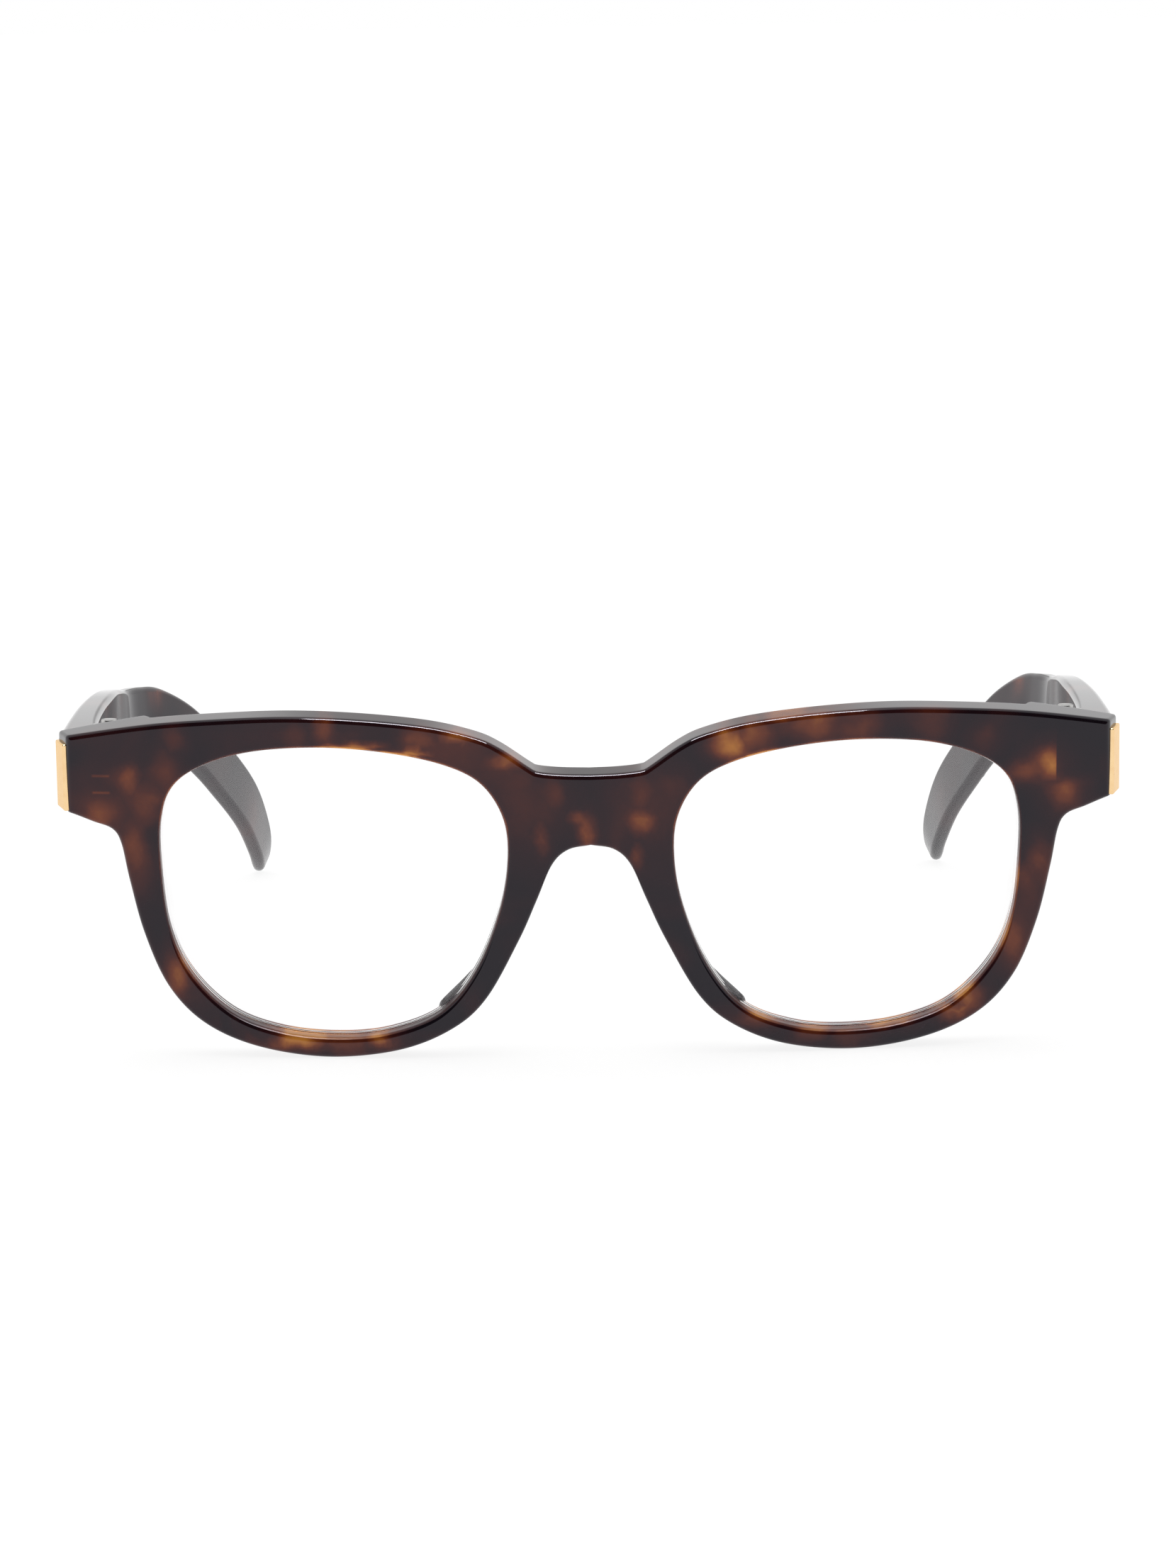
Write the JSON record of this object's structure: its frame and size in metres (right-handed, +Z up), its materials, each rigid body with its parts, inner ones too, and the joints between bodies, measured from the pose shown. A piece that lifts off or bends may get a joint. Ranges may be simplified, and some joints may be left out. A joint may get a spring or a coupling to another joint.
{
  "type": "eyeglasses frame",
  "caption": "Acetate eyeglasses frame with wrapped front, clear lenses, barrel-hinged folding temples and inlaid side plaques.",
  "frame": {"origin": "middle of the bounding box's bottom face, on the plane that the rims and temple tips rest on", "axes": "+X to the wearer's left, +Y from the front back along the open temples, +Z up"},
  "size_m": [0.155, 0.1428, 0.0495],
  "materials": {
    "havana_acetate": "polished tortoise pattern, near black brown with amber patches",
    "temple_acetate": "polished tortoise pattern",
    "pad_acetate": "polished",
    "demo_lens": "clear, uncoated",
    "plaque_metal": "polished pale gold",
    "hinge_metal": "satin nickel silver",
    "screw_metal": "bright",
    "core_wire_metal": "drawn wire"
  },
  "bodies": {
    "front": {"front_chassis": "havana_acetate", "lens_left": "demo_lens", "lens_right": "demo_lens", "nose_pad_left": "pad_acetate", "nose_pad_right": "pad_acetate", "plaque_left": "plaque_metal", "plaque_right": "plaque_metal", "hinge_front_leaf_left": "hinge_metal", "hinge_front_leaf_right": "hinge_metal", "hinge_screw_left": "screw_metal", "hinge_screw_right": "screw_metal"},
    "left_temple": {"temple_left": "temple_acetate", "hinge_temple_leaf_left": "hinge_metal", "core_wire_left": "core_wire_metal"},
    "right_temple": {"temple_right": "temple_acetate", "hinge_temple_leaf_right": "hinge_metal", "core_wire_right": "core_wire_metal"}
  },
  "joints": [
    {"name": "left_fold", "type": "hinge", "parent": "front", "child": "left_temple", "pos_m": [0.068, -0.057, 0.04235], "axis": [0, 0, 1], "range_deg": [0, 86]},
    {"name": "right_fold", "type": "hinge", "parent": "front", "child": "right_temple", "pos_m": [-0.068, -0.057, 0.04235], "axis": [0, 0, -1], "range_deg": [0, 77.5]}
  ]
}
